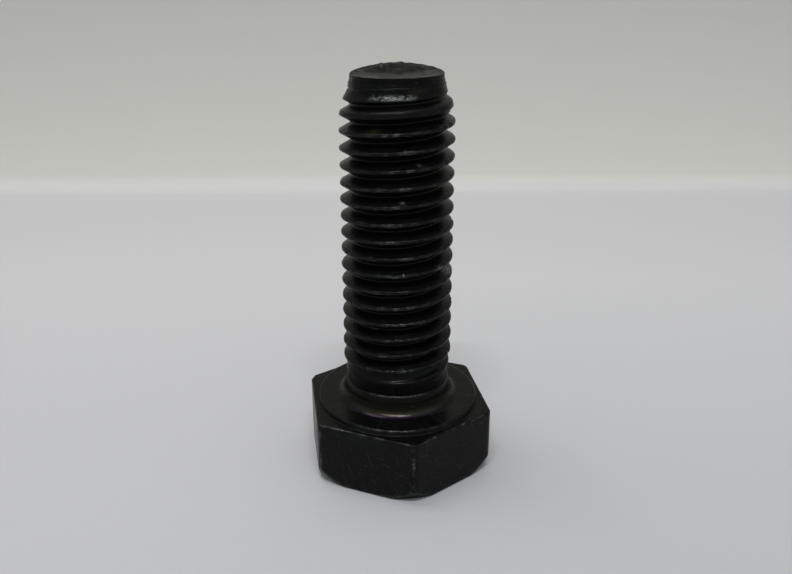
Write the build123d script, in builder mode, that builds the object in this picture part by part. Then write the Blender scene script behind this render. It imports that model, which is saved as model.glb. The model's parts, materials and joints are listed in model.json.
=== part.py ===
from build123d import *
import os
from math import radians, tan

os.makedirs("parts", exist_ok=True)

# Fully threaded hex head screw, M10 x 1.5 x 30, in millimetres: one piece of forged
# and thread-rolled steel. The origin is the centre of the bearing plane under the
# head. +Z runs along the shank to the tip, so the head hangs below the origin.

# Head
across_flats = 15.9
head_height = 6.4
corner_round = 0.8
crown_radius = 8.2
crown_angle = 55.5
edge_break = 0.10
washer_face_radius = 7.40
washer_face_height = 0.45
washer_face_draft = 0.10

# Neck between the head and the thread, left plain by the rolling dies
fillet_radius = 0.70
flare_radius = 4.92
neck_radius = 4.70
neck_step = 0.08
neck_step_height = 1.80
neck_top = 2.95

# Thread
shank_length = 30.0
crest_radius = 4.93
root_radius = 3.99
root_flat = 0.115
pitch = 1.5
half_thread_angle = radians(30)
turns = 17
ridge_start = 2.0
start_azimuth = 48.0
runout_length = 1.15
crest_rise = 0.80

# Pointed tip, where the thread fades out on the cone
tip_radius = 3.75
tip_cone_length = 3.8
fade_start = 2.6
fade_end = 1.45

# The ridge is set into the core by this much, and kept inside the cone by the other
ridge_depth = 0.08
cone_gap = 0.02

tip_slope = (crest_radius - tip_radius) / tip_cone_length
crest_slope = (crest_radius - neck_radius) / crest_rise


def ridge_half_width(radius):
    """Half the axial width of the thread ridge at this radius."""
    return (pitch - root_flat) / 2 - (radius - root_radius) * tan(half_thread_angle)


# The hexagon. A cone takes the corners off its outer end.
with BuildPart() as head:
    with BuildSketch(Plane.XY.offset(-head_height)) as hexagon:
        RegularPolygon(across_flats / 2, 6, major_radius=False, rotation=30)
        fillet(hexagon.vertices(), corner_round)
    extrude(amount=head_height - washer_face_height)
    chamfer(head.faces().sort_by(Axis.Z)[-1].edges(), edge_break)
    with BuildSketch(Plane.XZ) as crown_section:
        with BuildLine():
            crown_rise = (across_flats - crown_radius) * tan(radians(crown_angle))
            Polyline(
                (0, -head_height),
                (crown_radius, -head_height),
                (across_flats, -head_height + crown_rise),
                (across_flats, head_height),
                (0, head_height),
                close=True,
            )
        make_face()
    revolve(axis=Axis.Z, mode=Mode.INTERSECT)

# The washer face, fillet, neck, thread core and pointed tip, turned in one profile.
with BuildPart() as core:
    with BuildSketch(Plane.XZ) as core_section:
        with BuildLine():
            fillet_outer = (flare_radius + fillet_radius, 0)
            fillet_inner = (flare_radius, fillet_radius)
            Polyline(
                (0, -head_height / 2),
                (washer_face_radius + washer_face_draft, -head_height / 2),
                (washer_face_radius + washer_face_draft, -washer_face_height),
                (washer_face_radius, 0),
                fillet_outer,
            )
            RadiusArc(fillet_outer, fillet_inner, fillet_radius)
            Polyline(
                fillet_inner,
                (neck_radius + neck_step, neck_step_height),
                (neck_radius, neck_step_height + neck_step),
                (neck_radius, neck_top),
                (root_radius, neck_top + runout_length),
                (root_radius, shank_length - fade_start),
                (tip_radius + fade_end * tip_slope, shank_length - fade_end),
                (tip_radius, shank_length),
                (0, shank_length),
                (0, -head_height / 2),
            )
        make_face()
    revolve(axis=Axis.Z)

# The helical ridge. Its crest dips to the neck at one end and follows the tip's
# cone at the other, so that the thread runs out at both.
with BuildPart() as thread:
    with BuildLine() as thread_path:
        for turn in range(turns):
            Helix(pitch, pitch, root_radius, center=(0, 0, ridge_start + turn * pitch))
    with BuildSketch(Plane.XZ) as ridge_section:
        with BuildLine():
            foot_radius = root_radius - ridge_depth
            foot_half = ridge_half_width(foot_radius)
            crest_half = ridge_half_width(crest_radius)
            Polyline(
                (foot_radius, ridge_start + foot_half),
                (crest_radius, ridge_start + crest_half),
                (crest_radius, ridge_start - crest_half),
                (foot_radius, ridge_start - foot_half),
                close=True,
            )
        make_face()
    sweep(path=thread_path.wires()[0], is_frenet=True)
    with BuildSketch(Plane.XZ) as envelope_section:
        with BuildLine():
            open_radius = crest_radius + 0.5
            open_height = neck_top + (open_radius - neck_radius) / crest_slope
            cone_height = shank_length - (open_radius + cone_gap - tip_radius) / tip_slope
            Polyline(
                (0, neck_top - crest_rise),
                (neck_radius - crest_rise * crest_slope, neck_top - crest_rise),
                (open_radius, open_height),
                (open_radius, cone_height),
                (tip_radius - cone_gap, shank_length),
                (0, shank_length),
                close=True,
            )
        make_face()
    revolve(axis=Axis.Z, mode=Mode.INTERSECT)

# The finished piece.
with BuildPart() as hex_bolt:
    add(head.part)
    add(core.part)
    add(thread.part, rotation=(0, 0, start_azimuth))
hex_bolt.part.label = "hex_bolt"
export_step(hex_bolt.part, "parts/hex_bolt.step")
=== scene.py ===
import json
import math
from types import SimpleNamespace

import bpy
import numpy as np
from mathutils import Matrix, Vector, noise


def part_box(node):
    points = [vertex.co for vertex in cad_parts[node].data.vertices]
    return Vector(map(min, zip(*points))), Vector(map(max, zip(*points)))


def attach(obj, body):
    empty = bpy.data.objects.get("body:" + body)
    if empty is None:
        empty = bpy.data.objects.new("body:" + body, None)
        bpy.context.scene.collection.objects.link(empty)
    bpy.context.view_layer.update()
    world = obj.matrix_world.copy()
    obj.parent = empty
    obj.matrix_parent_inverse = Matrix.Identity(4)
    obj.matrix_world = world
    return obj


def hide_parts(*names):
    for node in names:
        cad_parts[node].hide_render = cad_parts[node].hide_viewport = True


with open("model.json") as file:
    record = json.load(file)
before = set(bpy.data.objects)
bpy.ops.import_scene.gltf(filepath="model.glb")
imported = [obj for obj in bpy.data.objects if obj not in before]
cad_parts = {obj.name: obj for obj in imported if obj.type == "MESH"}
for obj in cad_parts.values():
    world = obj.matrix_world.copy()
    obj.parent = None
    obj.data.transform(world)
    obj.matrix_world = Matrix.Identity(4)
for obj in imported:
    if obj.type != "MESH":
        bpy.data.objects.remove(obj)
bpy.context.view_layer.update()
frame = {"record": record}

# Lengths are millimetres in the CAD frame: z = 0 is the bearing plane under the head, the
# shank points up, and a wrench flat faces +X. Angles are radians, from +X towards +Y.
MM = 0.001
low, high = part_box("hex_bolt")
mounts = {mount["name"]: mount for mount in frame["record"]["mounts"]}
SHANK_LENGTH = high[2] / MM
HEAD_BOTTOM = low[2] / MM
APOTHEM = high[0] / MM
CREST_RADIUS = mounts["thread"]["dims"]["r_mm"]
NECK_RADIUS = mounts["shank_neck"]["dims"]["r_mm"]

# Thread
PITCH = 1.494
FLANK = math.tan(math.radians(30))
PITCH_RADIUS = 4.512
ROOT_RADIUS = 3.97
CREST_AT_X = 3.275          # height of the first crest on the +X side
NECK_TOP = 2.95
RUNOUT = 1.15
THREAD_RINGS = 422

# Tip
TIP_RADIUS = 3.70
CONE_LENGTH = 3.8
CONE_SLOPE = (CREST_RADIUS - TIP_RADIUS) / CONE_LENGTH
TIP_HEIGHT = SHANK_LENGTH - 0.40
CONE_START = 28.2           # from here up, the rings stretch to meet the uneven rim

# Neck
STEP_HEIGHT = 1.82
FLARE_FOOT = 5.80           # the flare's radius where it meets the washer face
FLARE_RADIUS = 4.86
FLARE_HEIGHT = 1.25

# Head
WASHER_RADIUS = 7.40
WASHER_HEIGHT = 0.45
CORNER_ROUND = 0.80
EDGE_ROUND = 0.16
SECTOR = math.radians(60)
CROWN_RADIUS = 8.22
CROWN_SLOPE = math.tan(math.radians(55.5))
CROWN_LIP = HEAD_BOTTOM + 0.03

# The camera looks from -Y, turned a little towards -X
CAMERA_AZIMUTH = math.radians(-9.37)
CAMERA_DISTANCE = 65.202
CAMERA_HEIGHT = 36.687
FRONT = CAMERA_AZIMUTH - math.pi / 2


# ---------------------------------------------------------------- helpers

def smooth_min(a, b, width):
    h = np.clip(0.5 + 0.5 * (b - a) / width, 0, 1)
    return b * (1 - h) + a * h - width * h * (1 - h)


def smooth_max(a, b, width):
    return -smooth_min(-a, -b, width)


def smooth_step(x, start, end):
    t = np.clip((x - start) / (end - start), 0, 1)
    return t * t * (3 - 2 * t)


def bump_at(distance, width):
    return np.exp(-(distance / width) ** 2)


def angle_from(theta, centre):
    """Signed angle from centre, between -pi and pi."""
    return (theta - centre + math.pi) % (2 * math.pi) - math.pi


def noise_field(x, y, z, scale, seed):
    """Perlin noise from -1 to 1 whose features are about scale millimetres."""
    out = np.empty(x.size)
    shift = Vector((seed * 7.31, seed * 3.17, seed * 5.93))
    points = np.column_stack((x.ravel(), y.ravel(), z.ravel())) / scale
    for i, point in enumerate(points):
        out[i] = noise.noise(Vector(point) + shift)
    return out.reshape(x.shape)


# ---------------------------------------------------------------- head

def column_angles():
    """Angles of the mesh's columns: close together at the hexagon's corners."""
    near = math.radians(3.2)
    close = np.linspace(-near, near, 11)
    rest = np.linspace(near, SECTOR - near, 21)[1:-1]
    one = np.concatenate((close, rest))
    return np.concatenate([math.radians(30) + k * SECTOR + one for k in range(6)])


def angle_on_flat(theta):
    """Angle from the middle of the nearest wrench flat, from -30 to 30 degrees."""
    return (theta + math.radians(30)) % SECTOR - math.radians(30)


def hexagon_radius(theta):
    """Radius of the hexagon with its rounded corners."""
    turn = np.abs(angle_on_flat(theta))
    flat = APOTHEM / np.cos(turn)
    centre = (APOTHEM - CORNER_ROUND) / math.cos(math.radians(30))
    off = math.radians(30) - turn
    arc = centre * np.cos(off) + np.sqrt(np.maximum(CORNER_ROUND**2 - (centre * np.sin(off)) ** 2, 0))
    tangent_angle = math.atan2((APOTHEM - CORNER_ROUND) * math.tan(math.radians(30)), APOTHEM)
    return np.where(turn < tangent_angle, flat, arc)


def base_outline(theta):
    """Radius of the head's flat end: the hexagon with its corners cut off by the crown."""
    return smooth_min(hexagon_radius(theta) - 0.10, CROWN_RADIUS + 0 * theta, 0.12)


def crown_height(theta):
    """Height at which the crown meets the wrench flats and corners."""
    width = hexagon_radius(theta) - base_outline(theta)
    return CROWN_LIP + width * CROWN_SLOPE


def hexagon_rings(theta):
    """The head's flat end, its crown, and the wrench flats with their rounded upper edge."""
    outline = hexagon_radius(theta)
    base = base_outline(theta)
    crown_top = crown_height(theta)
    out = [(r, HEAD_BOTTOM) for r in (0.6, 1.5, 2.5, 3.5, 4.5, 5.4, 6.2, 6.9, 7.4, 7.66)]
    out += [(base - 0.06, HEAD_BOTTOM + 0.004), (base, CROWN_LIP)]
    for t in np.linspace(0.1, 1.0, 9):
        r = base + t * (outline - 0.03 - base)
        out.append((r, CROWN_LIP + (r - base) * CROWN_SLOPE))
    out.append((outline - 0.008, crown_top + 0.035))

    top = -WASHER_HEIGHT
    for t in np.linspace(0, 1, 22):
        out.append((outline, crown_top + 0.10 + t * (top - EDGE_ROUND - crown_top - 0.10)))
    for a in np.radians([22, 45, 68, 90]):
        out.append((outline - EDGE_ROUND * (1 - math.cos(a)), top - EDGE_ROUND * (1 - math.sin(a))))
    return out


def washer_rings(theta):
    """The hexagon's underside, and the washer face with its softly rounded edge."""
    inner = hexagon_radius(theta) - EDGE_ROUND
    foot = WASHER_RADIUS + 0.11
    out = [(inner + t * (foot - inner), -WASHER_HEIGHT) for t in np.linspace(0, 1, 7)[1:]]
    out += [(7.475, -0.41), (7.455, -0.32), (7.44, -0.22), (7.425, -0.13), (7.40, -0.06), (7.36, -0.018)]
    out.append((7.29, -0.002))
    out += [(r, 0) for r in np.linspace(7.18, 5.85, 12)]
    return out


def neck_rings():
    """The flare under the head, and the small step where the plain neck starts."""
    out = []
    for t in np.linspace(0, 1, 17)[1:]:
        a = t * math.pi / 2
        r = FLARE_FOOT - (FLARE_FOOT - FLARE_RADIUS) * math.sin(a)
        out.append((r, FLARE_HEIGHT * (1 - math.cos(a))))
    for t in np.linspace(0, 1, 6)[1:]:
        out.append((FLARE_RADIUS - 0.09 * t, FLARE_HEIGHT + t * (STEP_HEIGHT - 0.04 - FLARE_HEIGHT)))
    for proud, rise in ((0.055, -0.01), (0.015, 0.02), (0, 0.05)):
        out.append((NECK_RADIUS + proud, STEP_HEIGHT + rise))
    return out


# ---------------------------------------------------------------- shank

def neck_lines(theta, z):
    """Faint marks that the ends of the rolling dies left round the plain neck."""
    turn = theta / (2 * math.pi)
    first = 0.030 * bump_at(z - 2.20 - 0.25 * turn, 0.06) * (1 + np.sin(5 * theta)) / 2
    second = 0.028 * bump_at(z - 2.52 - 0.30 * turn, 0.07) * (1 + np.sin(3 * theta + 2)) / 2
    return first + second


def cone_radius(z):
    """The tapered tip, with a slight swelling where the first threads start."""
    taper = TIP_RADIUS + (SHANK_LENGTH - z) * CONE_SLOPE
    return taper + 0.12 * bump_at(z - 27.35, 0.55) - 0.05 * bump_at(z - 28.3, 0.4)


def shank_radius(theta, z):
    """A rounded 60 degree thread that runs out at the neck and at the tip."""
    offset = (z - CREST_AT_X - PITCH * theta / (2 * math.pi) + PITCH / 2) % PITCH - PITCH / 2
    flank = PITCH_RADIUS + (PITCH / 4 - np.abs(offset)) / FLANK
    wave = 0.012 * np.sin(3 * theta + 0.9 * z) + 0.010 * np.sin(7 * theta - 1.7 * z + 1)
    thread = smooth_min(flank, CREST_RADIUS + 0.03 + wave, 0.09)
    thread = smooth_max(thread, ROOT_RADIUS + 0 * z, 0.10)
    cone = cone_radius(z)
    rise = NECK_RADIUS + (z - NECK_TOP) * (CREST_RADIUS - NECK_RADIUS) / 0.8
    thread = smooth_min(thread, cone, 0.08)
    thread = smooth_min(thread, rise, 0.08)

    neck = NECK_RADIUS + neck_lines(theta, z) - (z - NECK_TOP) * (NECK_RADIUS - ROOT_RADIUS) / RUNOUT
    neck = smooth_min(neck, NECK_RADIUS + 0.03 + 0 * z, 0.10)
    fading = ROOT_RADIUS + (z - SHANK_LENGTH + 2.9) * 0.12
    fading = np.minimum(smooth_min(fading, cone - 0.02, 0.03), cone)
    return smooth_max(thread, np.maximum(neck, fading), 0.06)


def thread_and_tip(theta, z):
    """The shank's radius with the marks that rolling left near the tip."""
    right = angle_from(theta, CAMERA_AZIMUTH)
    left = angle_from(theta, CAMERA_AZIMUTH + math.pi)
    half_filled = 0.55 * bump_at(z - 26.5, 0.35) + 0.24 * bump_at(z - 27.95, 0.4)
    filled = ROOT_RADIUS + bump_at(right, 0.75) * half_filled
    r = smooth_max(shank_radius(theta, z), np.minimum(filled, CREST_RADIUS), 0.08)
    climb = 0.2 * left / math.pi
    lines = 0.055 * bump_at(z - 28.62 - climb, 0.055) + 0.045 * bump_at(z - 28.92 - climb, 0.045)
    notch = 0.10 * bump_at(left, 0.8) * bump_at(z - 28.48, 0.13)
    return r + lines - notch


def rim_height(theta):
    """The rim at the tip isn't square: low in front, raised and ragged at the back."""
    back = np.abs(angle_from(theta, CAMERA_AZIMUTH + math.pi / 2))
    rise = 0.58 * np.clip(1 - back / 1.55, 0, 1)
    ragged = noise_field(np.cos(theta) * TIP_RADIUS, np.sin(theta) * TIP_RADIUS, 0 * theta, 0.40, 1)
    return SHANK_LENGTH - 0.42 + rise + (0.02 + 0.14 * rise) * ragged


def shank_rings(theta):
    """The neck, thread and cone, then the tip's rolled rim and shallow dish."""
    rim = rim_height(theta)
    out = []
    for z in np.linspace(STEP_HEIGHT + 0.11, TIP_HEIGHT, THREAD_RINGS):
        lift = (rim - TIP_HEIGHT) * smooth_step(z, CONE_START, TIP_HEIGHT)
        out.append((thread_and_tip(theta, z), z + lift))

    edge = out[-1][0]
    for inset, rise in ((0.03, 0.018), (0.08, 0.022), (0.15, -0.01), (0.24, -0.07)):
        out.append((edge - inset, rim + rise))
    floor = rim.min() - 0.10
    for share in np.linspace(0.92, 0.04, 30):
        wall = smooth_step(share, 0.66, 0.97)
        out.append(((edge - 0.05) * share, floor + wall * (rim - 0.08 - floor) - 0.10 * (1 - share)))
    return out


# ---------------------------------------------------------------- mesh

def build_bolt():
    """One closed mesh: rings from the middle of the head's end to the middle of the tip."""
    theta = column_angles()
    rings = hexagon_rings(theta) + washer_rings(theta) + neck_rings() + shank_rings(theta)
    r = np.array([radius + 0 * theta for radius, height in rings])
    z = np.array([height + 0 * theta for radius, height in rings])
    grid = np.column_stack(((r * np.cos(theta)).ravel(), (r * np.sin(theta)).ravel(), z.ravel()))
    points = np.vstack((grid, (0, 0, z[0].mean()), (0, 0, z[-1].mean())))

    rows, columns = r.shape
    row = np.arange(rows - 1)[:, None] * columns
    this = np.arange(columns)
    after = (this + 1) % columns
    quads = np.stack((row + this, row + after, row + columns + after, row + columns + this), -1)
    faces = [tuple(quad) for quad in quads.reshape(-1, 4).tolist()]
    last = (rows - 1) * columns
    pairs = list(zip(this.tolist(), after.tolist()))
    faces += [(rows * columns, b, a) for a, b in pairs]
    faces += [(rows * columns + 1, last + a, last + b) for a, b in pairs]
    mesh = bpy.data.meshes.new("hex_bolt_surface")
    mesh.from_pydata((points * MM).tolist(), [], faces)
    mesh.update()
    return mesh, points


def survey(points):
    """Each vertex's place, its noise, and how far it is in each zone of the surface."""
    skin = SimpleNamespace(height=points[:, 2])
    x, y = points[:, 0], points[:, 1]
    skin.radius = np.hypot(x, y)
    skin.angle = np.arctan2(y, x)
    skin.front = angle_from(skin.angle, FRONT)
    skin.coarse = noise_field(x, y, skin.height, 2.6, 2)
    skin.middle = noise_field(x, y, skin.height, 0.75, 3)
    skin.fine = noise_field(x, y, skin.height, 0.30, 4)

    height, radius = skin.height, skin.radius
    skin.on_thread = smooth_step(height, 2.9, 3.6) * (1 - smooth_step(height, 27.6, CONE_START))
    skin.crest = skin.on_thread * smooth_step(radius, 4.80, 4.92)
    skin.on_cone = smooth_step(height, 27.9, 28.3) * smooth_step(radius, 3.3, 3.8)
    skin.on_tip = smooth_step(height, 29.2, 29.5) * (1 - smooth_step(radius, 3.7, 3.9))
    skin.on_neck = smooth_step(height, 1.80, 1.95) * (1 - smooth_step(height, 2.8, 3.3)) * (radius < 4.95)

    skin.turn = angle_on_flat(skin.angle)
    outline = hexagon_radius(skin.angle)
    at_side = smooth_step(radius, outline - 0.25, outline - 0.08) * (height < -0.4)
    skin.corner = bump_at(np.abs(skin.turn) - math.radians(30), math.radians(1.1)) * at_side
    skin.top_edge = bump_at(height + WASHER_HEIGHT + 0.05, 0.07) * at_side
    skin.crown_edge = bump_at(height - crown_height(skin.angle), 0.09) * at_side
    skin.base_edge = bump_at(height - CROWN_LIP, 0.07) * bump_at(radius - base_outline(skin.angle), 0.10)

    # The worn patch where the first thread starts, and the pale ring on the flare: a painted highlight,
    # brighter colour where the lamp's highlight falls, strongest in front
    across = 1 - smooth_step(np.abs(skin.front + 0.12), 0.34, 0.56)
    skin.patch = across * bump_at(height - 28.08, 0.17) * smooth_step(radius, 4.05, 4.15)
    around = 0.15 + 0.85 * bump_at(skin.front, 0.75)
    skin.ring = around * bump_at(radius - 5.24, 0.16) * (height > 0.05) * (height < 1.0)
    return skin


def dents(skin):
    """How far each vertex moves out: forging unevenness, flattened crests and nicked edges."""
    push = (0.016 * skin.coarse + 0.006 * skin.middle) * (skin.height < -0.02)
    push += skin.crest * (-0.10 * smooth_step(skin.middle, 0.22, 0.62) + 0.014 * skin.fine)
    push += skin.on_cone * (0.028 * skin.middle + 0.012 * skin.fine)
    push += skin.on_tip * (0.060 * skin.middle + 0.034 * skin.fine)
    push -= 0.09 * skin.corner * smooth_step(skin.middle, 0.25, 0.65) * (skin.height < -0.5)
    push -= 0.09 * skin.top_edge * smooth_step(skin.middle, 0.25, 0.7)
    push -= 0.05 * skin.base_edge * smooth_step(skin.fine, 0.15, 0.6)
    push += 0.010 * skin.coarse * (1 - skin.on_thread) * (skin.height > 0.05) * (skin.height < 3)
    return push


def dust_and_nicks(skin):
    """A dust smear on the right, and four small pale nicks."""
    spots = (
        # angle, height, size, amount
        (-0.41, 12.54, 0.14, 1.0),
        (-0.18, 12.45, 0.14, 0.9),
        (-0.89, 13.44, 0.10, 0.8),
        (-2.27, 7.97, 0.06, 0.6),
        (-1.63, 19.64, 0.035, 0.7),
        (-1.32, 22.74, 0.035, 0.7),
    )
    dust = 0
    for angle, height, size, amount in spots:
        at_height = bump_at(skin.height - height, 0.05 + size * 1.6)
        dust += amount * bump_at(angle_from(skin.angle, angle), size) * at_height
    return dust * smooth_step(skin.fine, -0.35, 0.1)


def steel_wear_and_glints(skin):
    """How far the steel shows through the black, from 0 to 1, with pale steel also laid as painted glints
    and highlights on crests and edges in front.
    """
    height, radius, front = skin.height, skin.radius, skin.front
    middle, fine = skin.middle, skin.fine
    wear_and_glint = 0.45 * skin.corner * smooth_step(fine + 0.6 * middle, -0.15, 0.45)
    wear_and_glint += 0.32 * skin.top_edge * smooth_step(fine + 0.7 * middle, 0.02, 0.42)
    # The crown's upper and lower edges are pale: partly wear, partly a painted highlight along them.
    wear_and_glint += 0.35 * skin.crown_edge * smooth_step(fine, -0.1, 0.4) + 0.30 * skin.base_edge

    # Pale arcs on the washer face's edge, strong in front: a painted highlight, with a little wear all
    # round.
    washer_edge = bump_at(radius - WASHER_RADIUS, 0.07) * bump_at(height + 0.03, 0.10)
    wear_and_glint += (0.02 + 0.40 * bump_at(front, 0.5)) * washer_edge * smooth_step(fine, -0.1, 0.3)
    # A pale line on the neck's step, only in front: a painted highlight.
    step_edge = bump_at(height - STEP_HEIGHT, 0.05) * (radius > 4.68) * (radius < 4.9)
    wear_and_glint += 0.45 * step_edge * (1 - smooth_step(np.abs(front), 0.35, 0.7))

    # Pale dashes along the thread crests, strong in front: painted glints, with light wear all round.
    crest_line = skin.on_thread * smooth_step(radius, 4.87, 4.95)
    wear_and_glint += (0.05 + 0.25 * bump_at(front, 0.38)) * crest_line * smooth_step(fine + middle, -0.1, 0.35)
    wear_and_glint += dust_and_nicks(skin)

    wear_and_glint += 0.9 * skin.patch * smooth_step(fine + 0.25 + np.minimum(front + 0.2, 0), -0.05, 0.25)
    # Two pale lines on the cone, in front: a painted highlight.
    ridge = bump_at(height - 28.67, 0.05) + bump_at(height - 28.96, 0.04)
    wear_and_glint += 0.07 * ridge * (radius > 3.9) * bump_at(front, 0.8) * smooth_step(middle, -0.1, 0.3)
    wear_and_glint += 0.15 * bump_at(radius - TIP_RADIUS, 0.16) * smooth_step(height, 29.3, 29.5)
    tip_wear = 0.10 + 0.26 * middle + 0.16 * fine
    wear_and_glint += skin.on_tip * tip_wear * (1 - 0.7 * smooth_step(np.abs(front), 1.6, 2.6))
    return np.clip(wear_and_glint, 0, 1)


def tints(skin):
    """The colour that the black is multiplied by: temper tints, stains, darker zones, and a bright ring on
    the flare that is a painted highlight.
    """
    height, radius, front = skin.height, skin.radius, skin.front
    straw = bump_at(height - 0.85, 0.55) * (radius < 5.5)
    violet = bump_at(front, 0.75) * bump_at(radius - 5.50, 0.16) * bump_at(height, 0.3)
    stain = bump_at(front - 0.44, 0.17) * bump_at(height - 28.53, 0.22)
    stain += bump_at(front + 0.40, 0.10) * bump_at(height - 25.5, 0.25)
    zones = (
        # The bright ring is a painted highlight where the lamp's highlight falls on the flare.
        (skin.ring, (6.5, 6.2, 5.4)),
        (skin.on_neck, (0.2, 0.2, 0.2)),
        (skin.on_cone, (0.5, 0.5, 0.5)),
        (skin.on_tip, (0.3, 0.3, 0.3)),
        (straw, (0.7, 0.65, 0.2)),
        (violet, (1.4, 0.6, 2.2)),
        (stain, (5.5, 4.9, 2.6)),
    )
    tint = np.ones((radius.size, 4))
    for amount, colour in zones:
        share = np.clip(amount, 0, 1)[:, None]
        tint[:, :3] *= 1 - share + share * np.array(colour)
    share = np.clip(skin.patch, 0, 1)[:, None]
    tint[:, :3] = tint[:, :3] * (1 - share) + np.array((0.82, 1.0, 0.97)) * share
    return tint


def finish_bolt(mesh, points):
    """Moves the vertices by the dents, and gives the mesh the fields that its material reads."""
    skin = survey(points)
    normals = np.empty(len(mesh.vertices) * 3)
    mesh.vertex_normals.foreach_get("vector", normals)
    moved = points + normals.reshape(-1, 3) * dents(skin)[:, None]
    moved[:, 2] = np.maximum(moved[:, 2], HEAD_BOTTOM)
    mesh.vertices.foreach_set("co", (moved * MM).ravel())
    mesh.polygons.foreach_set("use_smooth", np.ones(len(mesh.polygons), bool))

    height, radius = skin.height, skin.radius
    on_flare = 0.5 * (height > 0.03) * (height < 1.9)
    side = np.round((skin.angle + math.pi) / SECTOR)
    fields = {
        "wear_and_glint": steel_wear_and_glints(skin),
        "gloss": smooth_step(5.85 - radius, 0, 0.3) * (1 - smooth_step(height, 1.7, 1.9)) * (height > -0.1),
        "along": APOTHEM * np.tan(skin.turn) + 20 * side,
        "battered": np.clip(skin.crest + 0.7 * skin.on_cone + skin.on_neck, 0, 1),
        "dull": np.clip(0.75 * skin.on_neck + 0.5 * skin.on_cone + on_flare - skin.ring, 0, 1),
    }
    for name, values in fields.items():
        mesh.attributes.new(name, "FLOAT", "POINT").data.foreach_set("value", values)
    mesh.attributes.new("tint", "FLOAT_COLOR", "POINT").data.foreach_set("color", tints(skin).ravel())
    mesh.update()


# ---------------------------------------------------------------- materials

class Nodes:
    """Small wrapper that adds shader nodes and links them."""

    def __init__(self, name):
        self.material = bpy.data.materials.new(name)
        self.material.use_nodes = True
        self.tree = self.material.node_tree
        self.shader = self.tree.nodes["Principled BSDF"]

    def add(self, kind, inputs=(), **settings):
        node = self.tree.nodes.new(kind)
        for key, value in settings.items():
            setattr(node, key, value)
        for key, value in dict(inputs).items():
            self.put(node.inputs[key], value)
        return node

    def put(self, socket, value):
        if isinstance(value, bpy.types.NodeSocket):
            self.tree.links.new(value, socket)
        else:
            socket.default_value = value

    def set(self, name, value):
        self.put(self.shader.inputs[name], value)

    def field(self, name, output="Fac"):
        return self.add("ShaderNodeAttribute", attribute_name=name).outputs[output]

    def noise(self, vector, scale, detail=4.0, roughness=0.5):
        inputs = {"Vector": vector, "Scale": scale, "Detail": detail, "Roughness": roughness}
        return self.add("ShaderNodeTexNoise", inputs).outputs["Fac"]

    def remap(self, value, a, b, low=0.0, high=1.0):
        inputs = {"Value": value, "From Min": a, "From Max": b, "To Min": low, "To Max": high}
        return self.add("ShaderNodeMapRange", inputs).outputs["Result"]

    def math(self, operation, a, b=0.0):
        return self.add("ShaderNodeMath", {0: a, 1: b}, operation=operation).outputs["Value"]

    def mix(self, factor, a, b, blend="MIX"):
        node = self.add("ShaderNodeMix", data_type="RGBA", blend_type=blend)
        self.put(node.inputs["Factor"], factor)
        self.put(node.inputs[6], a)
        self.put(node.inputs[7], b)
        return node.outputs[2]


def scratches(graph, height):
    """Fine scratches in three directions on the wrench flats."""
    below = graph.remap(height, 0.3, -0.1)
    face = graph.add("ShaderNodeCombineXYZ", {"X": graph.field("along"), "Y": height}).outputs["Vector"]
    out = 0.0
    for tilt, length in ((0.42, 2.4), (-0.25, 1.7), (1.2, 2.0)):
        inputs = {"Vector": face, "Rotation": (0, 0, tilt), "Scale": (0.13, length, 1)}
        stretched = graph.add("ShaderNodeMapping", inputs, vector_type="TEXTURE").outputs["Vector"]
        line = graph.remap(graph.noise(stretched, 1.0, 1.0, 0.4), 0.70, 0.74)
        out = graph.math("MAXIMUM", out, graph.math("MULTIPLY", line, below))
    return out


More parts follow.
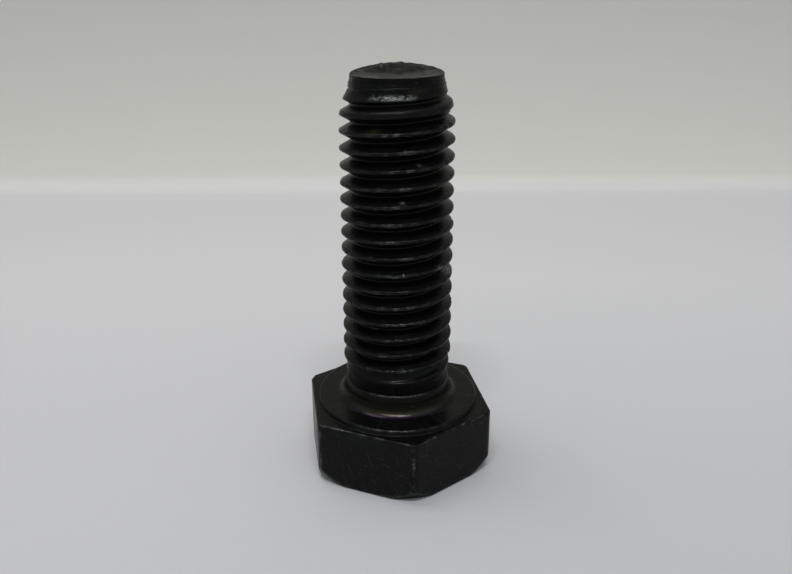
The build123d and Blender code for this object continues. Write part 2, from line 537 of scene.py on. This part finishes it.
def black_oxide():
    """Oiled black oxide on steel: dark and glossy, with the steel showing where it is worn, and pale steel
    laid in front as painted glints and highlights.
    """
    graph = Nodes("black_oxide_steel_worn")
    place = graph.add("ShaderNodeTexCoord").outputs["Object"]
    scaled = graph.add("ShaderNodeVectorMath", {0: place, "Scale": 1 / MM}, operation="SCALE")
    mm = scaled.outputs["Vector"]
    height = graph.add("ShaderNodeSeparateXYZ", {"Vector": mm}).outputs["Z"]
    wear_and_glint = graph.field("wear_and_glint")
    battered = graph.field("battered")

    # Patterns: broad blotches, grain, pits, marks that run round the shank, and scratches
    blotch = graph.noise(mm, 0.55, 5.0, 0.6)
    grain = graph.noise(mm, 7.0, 3.0, 0.6)
    speck = graph.remap(graph.noise(mm, 3.2, 2.0, 0.7), 0.66, 0.74)
    flow = graph.add("ShaderNodeMapping", {"Vector": mm, "Scale": (1.6, 1.6, 9.0)}).outputs["Vector"]
    lay = graph.noise(flow, 1.0, 4.0, 0.65)
    scratch = scratches(graph, height)

    # Colour
    oxide = graph.mix(blotch, (0.0035, 0.0038, 0.0036, 1), (0.0085, 0.009, 0.0085, 1))
    drift = graph.remap(graph.noise(mm, 0.16, 2.0), 0.4, 0.6)
    cast = graph.mix(drift, (1.10, 0.96, 1.08, 1), (0.98, 1.10, 1.0, 1))
    oxide = graph.mix(1.0, oxide, cast, "MULTIPLY")
    oxide = graph.mix(1.0, oxide, graph.field("tint", "Color"), "MULTIPLY")
    steel = graph.mix(grain, (0.19, 0.20, 0.195, 1), (0.39, 0.42, 0.41, 1))
    # Steel shows through where worn, and as painted glints and highlights in front.
    flecks = graph.remap(graph.noise(flow, 2.4, 3.0, 0.6), 0.44, 0.60, 0.12, 1.0)
    bare_and_glint = graph.math("MAXIMUM", graph.math("MULTIPLY", wear_and_glint, flecks), graph.math("MULTIPLY", scratch, 0.06))
    bare_and_glint = graph.math("MAXIMUM", bare_and_glint, graph.math("MULTIPLY", speck, 0.08))
    graph.set("Base Color", graph.mix(bare_and_glint, oxide, steel))
    graph.set("Metallic", 0.65)
    graph.set("Specular IOR Level", 0.16)
    graph.set("Specular Tint", (0.62, 0.62, 0.60, 1))

    # Gloss: rougher where worn, smoother on the flare, under a thin film of oil
    rough = graph.remap(blotch, 0.3, 0.7, 0.26, 0.42)
    rough = graph.math("ADD", rough, graph.math("MULTIPLY", wear_and_glint, 0.12))
    rough = graph.math("SUBTRACT", rough, graph.math("MULTIPLY", graph.field("gloss"), 0.17))
    graph.set("Roughness", rough)
    graph.set("Coat Weight", graph.remap(graph.field("dull"), 0.0, 1.0, 0.11, 0.03))
    graph.set("Coat Roughness", 0.05)

    # Relief
    relief = graph.math("MULTIPLY", grain, graph.remap(battered, 0.0, 1.0, 0.35, 1.6))
    relief = graph.math("ADD", relief, graph.math("MULTIPLY", blotch, 0.6))
    rolled = graph.math("MULTIPLY", lay, graph.remap(battered, 0.0, 1.0, 1.1, 2.2))
    relief = graph.math("ADD", relief, rolled)
    relief = graph.math("SUBTRACT", relief, graph.math("MULTIPLY", scratch, 0.25))
    bump = graph.add("ShaderNodeBump", {"Strength": 0.6, "Distance": 0.03 * MM, "Height": relief})
    graph.set("Normal", bump.outputs["Normal"])
    graph.set("Coat Normal", bump.outputs["Normal"])
    return graph.material


def paper():
    """The matt sheet that the bolt stands on: cool and pale, turning warmer up the back, with painted light
    and shade in its colour.
    """
    graph = Nodes("pale_sweep")
    place = graph.add("ShaderNodeTexCoord").outputs["Object"]
    split = graph.add("ShaderNodeSeparateXYZ", {"Vector": place})
    across, away, up = (split.outputs[axis] for axis in "XYZ")
    fibre = graph.noise(place, 900.0, 3.0, 0.6)
    # Painted light and shade on the floor: the near part lighter on the left than on the right, and the far
    # part lighter than the near.
    left = graph.mix(fibre, (0.525, 0.525, 0.545, 1), (0.535, 0.535, 0.555, 1))
    right = graph.mix(fibre, (0.480, 0.487, 0.503, 1), (0.490, 0.497, 0.513, 1))
    near = graph.mix(graph.remap(across, -0.02, 0.02), left, right)
    far = graph.mix(fibre, (0.628, 0.625, 0.638, 1), (0.638, 0.635, 0.648, 1))
    floor = graph.mix(graph.remap(away, -0.025, 0.045), near, far)
    # Painted light on the wall: lightest at its foot, darker higher up.
    wall = graph.mix(graph.remap(up, 0.004, 0.042), (0.78, 0.775, 0.715, 1), (0.585, 0.585, 0.54, 1))
    graph.set("Base Color", graph.mix(graph.remap(up, 0.0, 0.003), floor, wall))
    graph.set("Roughness", 0.8)
    graph.set("Specular IOR Level", 0.2)
    return graph.material


# ---------------------------------------------------------------- surroundings

def build_sweep():
    """A floor that curves up into a wall behind the bolt."""
    floor = HEAD_BOTTOM - 0.02
    reach = 400
    bend = 3.5
    foot = 96.0
    profile = [(y, 0.0) for y in (-reach, -200, -120, -80, -40, 0, 40, 70, 90)]
    for a in np.radians(np.linspace(6, 90, 15)):
        profile.append((foot + bend * math.sin(a), bend * (1 - math.cos(a))))
    profile += [(foot + bend, height) for height in (15, 30, 60, 120, 240, reach)]
    widths = np.linspace(-reach, reach, 33)
    points = [(width * MM, y * MM, height * MM) for y, height in profile for width in widths]
    n = widths.size
    faces = [(i * n + j, i * n + j + 1, (i + 1) * n + j + 1, (i + 1) * n + j)
             for i in range(len(profile) - 1) for j in range(n - 1)]
    mesh = bpy.data.meshes.new("sweep")
    mesh.from_pydata(points, [], faces)
    mesh.polygons.foreach_set("use_smooth", np.ones(len(mesh.polygons), bool))
    mesh.materials.append(paper())
    sweep = bpy.data.objects.new("sweep", mesh)
    sweep.location = (0, 0, floor * MM)
    sweep.rotation_euler = (0, 0, CAMERA_AZIMUTH)
    bpy.context.scene.collection.objects.link(sweep)


def add_lamp(name, place, target, size, power, colour):
    """A rectangular soft lamp at place that points at target."""
    light = bpy.data.lights.new(name, "AREA")
    light.shape = "RECTANGLE"
    light.size = size[0] * MM
    light.size_y = size[1] * MM
    light.energy = power
    light.color = colour
    lamp = bpy.data.objects.new(name, light)
    lamp.location = Vector(place) * MM
    aim = Vector(target) * MM - lamp.location
    lamp.rotation_euler = aim.to_track_quat("-Z", "Y").to_euler()
    bpy.context.scene.collection.objects.link(lamp)


def light_scene():
    """An even pale room, a wide soft lamp above and a narrow tube in front."""
    world = bpy.data.worlds.new("room")
    world.use_nodes = True
    background = world.node_tree.nodes["Background"]
    background.inputs["Color"].default_value = (0.95, 0.97, 1.0, 1)
    background.inputs["Strength"].default_value = 0.50
    bpy.context.scene.world = world
    add_lamp("ceiling", (-40, 130, 400), (0, 20, 0), (300, 200), 0.95, (1.0, 0.99, 0.96))
    add_lamp("tube", (-25, -130, 280), (0, 0, 10), (130, 3.6), 0.36, (1.0, 1.0, 1.0))


def add_camera():
    """The camera looks down at the bolt from the front, with a small roll."""
    turn = math.radians(6.461)
    tilt = math.radians(-19.130)
    roll = math.radians(-1.027)
    ahead = Vector((math.sin(turn) * math.cos(tilt), math.cos(turn) * math.cos(tilt), math.sin(tilt)))
    level = ahead.cross(Vector((0, 0, 1))).normalized()
    rise = level.cross(ahead)
    side = math.cos(roll) * level + math.sin(roll) * rise
    up = math.cos(roll) * rise - math.sin(roll) * level
    place = Vector((CAMERA_DISTANCE * math.sin(CAMERA_AZIMUTH),
                    -CAMERA_DISTANCE * math.cos(CAMERA_AZIMUTH),
                    CAMERA_HEIGHT)) * MM
    data = bpy.data.cameras.new("camera")
    data.sensor_width = 36.0
    data.lens = 34.967
    data.shift_x = 0.04545
    data.shift_y = -0.04672
    data.clip_start = 5 * MM
    camera = bpy.data.objects.new("camera", data)
    camera.matrix_world = Matrix.Translation(place) @ Matrix((side, up, -ahead)).transposed().to_4x4()
    bpy.context.scene.collection.objects.link(camera)
    bpy.context.scene.camera = camera


# ---------------------------------------------------------------- build

bolt_mesh, bolt_points = build_bolt()
finish_bolt(bolt_mesh, bolt_points)
bolt_mesh.materials.append(black_oxide())
bolt = bpy.data.objects.new("hex_bolt_surface", bolt_mesh)
bpy.context.scene.collection.objects.link(bolt)
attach(bolt, "root")
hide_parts("hex_bolt")

build_sweep()
light_scene()
add_camera()
bpy.context.scene.view_settings.view_transform = "Standard"
